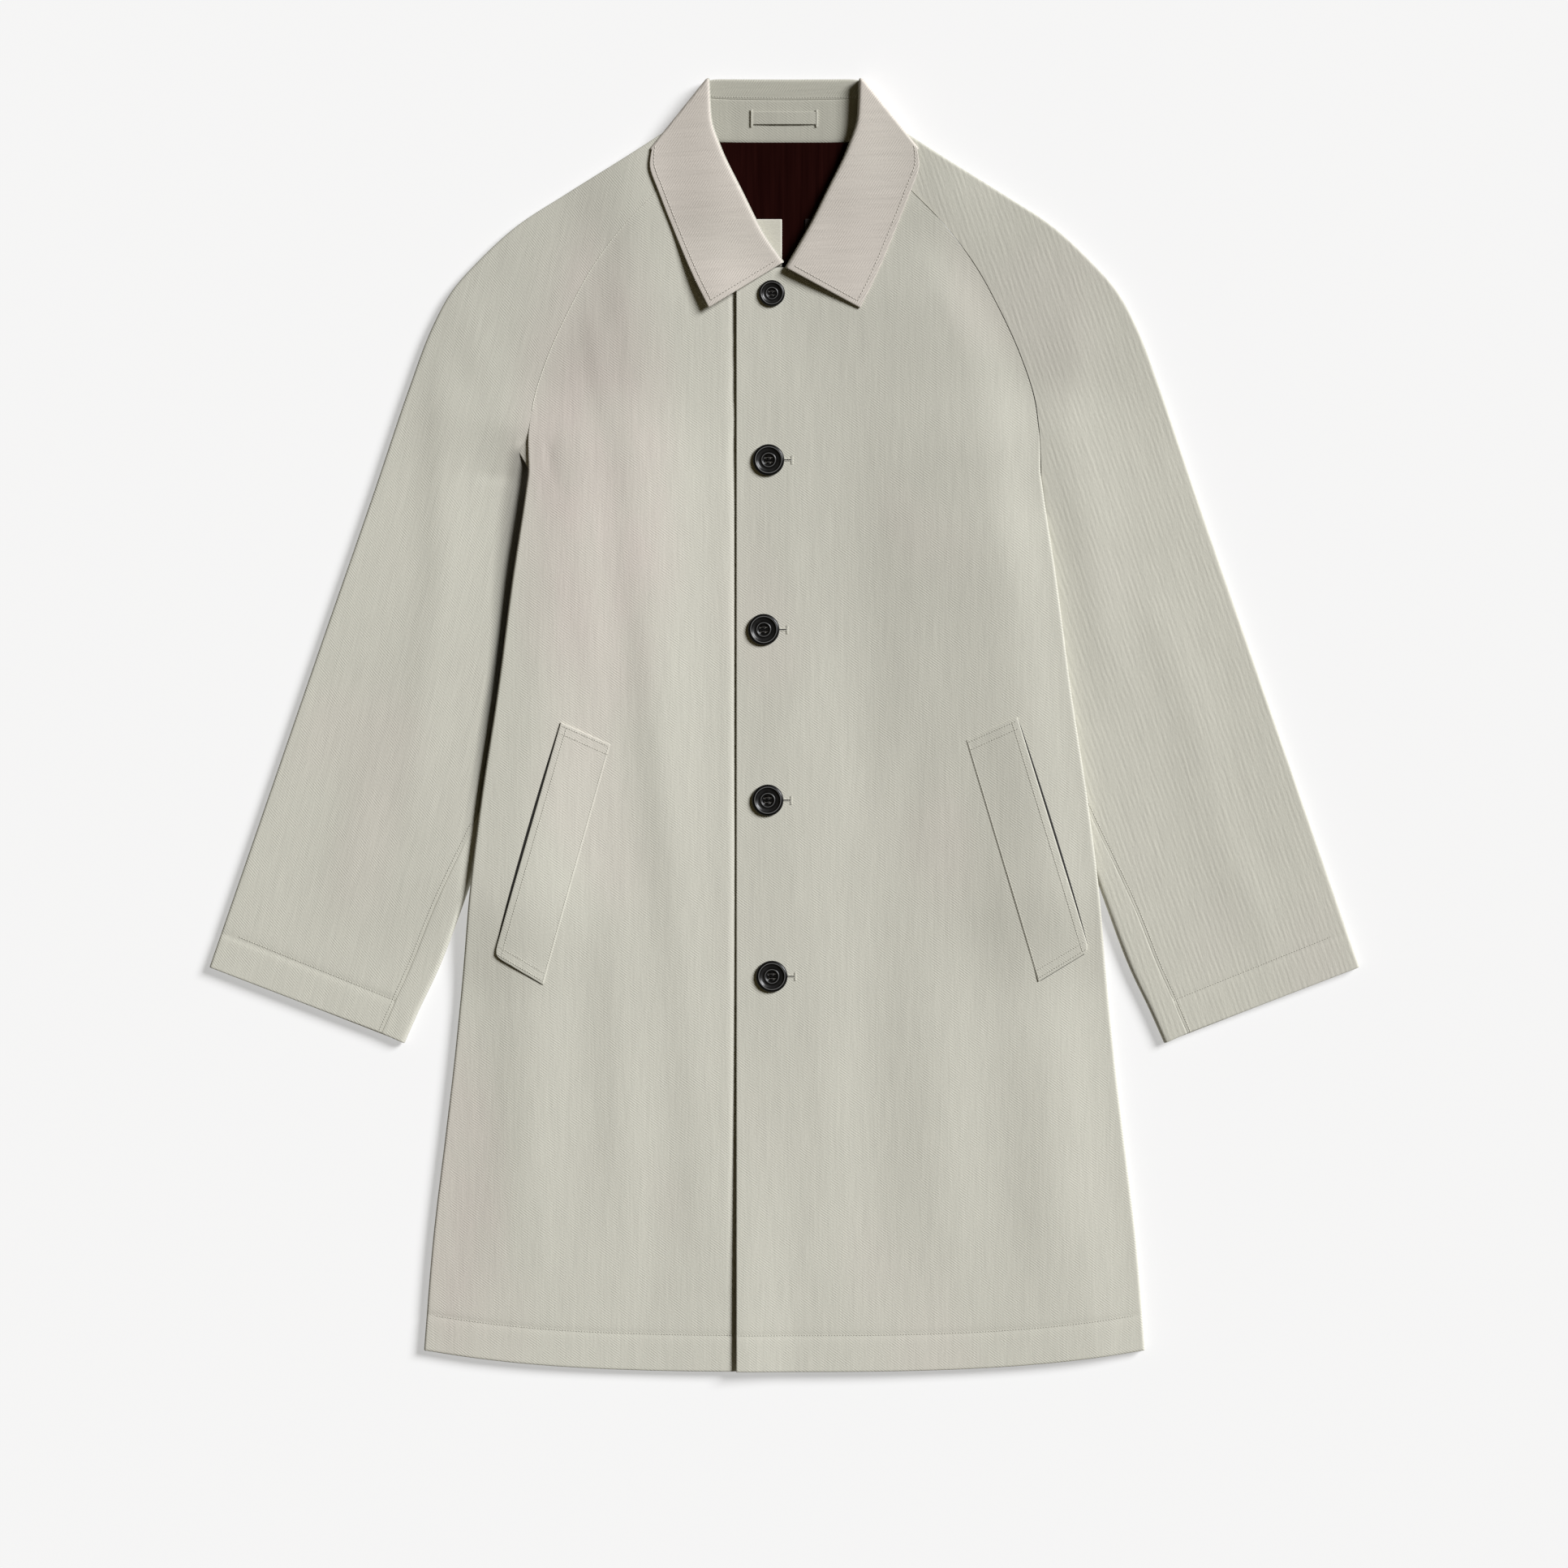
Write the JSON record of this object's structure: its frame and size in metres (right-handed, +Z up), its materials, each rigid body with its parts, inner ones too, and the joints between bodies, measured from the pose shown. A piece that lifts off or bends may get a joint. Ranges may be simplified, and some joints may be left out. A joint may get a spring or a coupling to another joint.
{
  "type": "wool coat",
  "caption": "Single-breasted raglan-sleeve wool coat with a turned-down collar and slanted welt pockets, buttoned and laid flat on its back, front up.",
  "frame": {"origin": "middle of the coat's overall box, on the surface it lies on", "axes": "+Z up from that surface, +Y towards the collar, +X towards the wearer's left sleeve"},
  "size_m": [0.879, 0.9887, 0.0171],
  "materials": {
    "wool": "pale stone wool twill, matt, fine diagonal rib",
    "collar_wool": "the same wool twill on the other grain, matt",
    "lining": "very dark burgundy satin lining",
    "pale_label": "bare cream woven label, matt",
    "dark_label": "bare dark woven label, matt",
    "horn": "near-black horn-effect buttons, satin gloss"
  },
  "bodies": {
    "root": {"back_panel": "wool", "front_left": "wool", "front_right": "wool", "sleeve_front_left": "wool", "sleeve_front_right": "wool", "sleeve_back_left": "wool", "sleeve_back_right": "wool", "pocket_welt_left": "wool", "pocket_welt_right": "wool", "collar_fall": "collar_wool", "collar_stand": "collar_wool", "hanger_loop": "collar_wool", "back_lining": "lining", "label_pale": "pale_label", "label_dark": "dark_label", "button_1": "horn", "button_2": "horn", "button_3": "horn", "button_4": "horn", "button_5": "horn"}
  },
  "joints": []
}
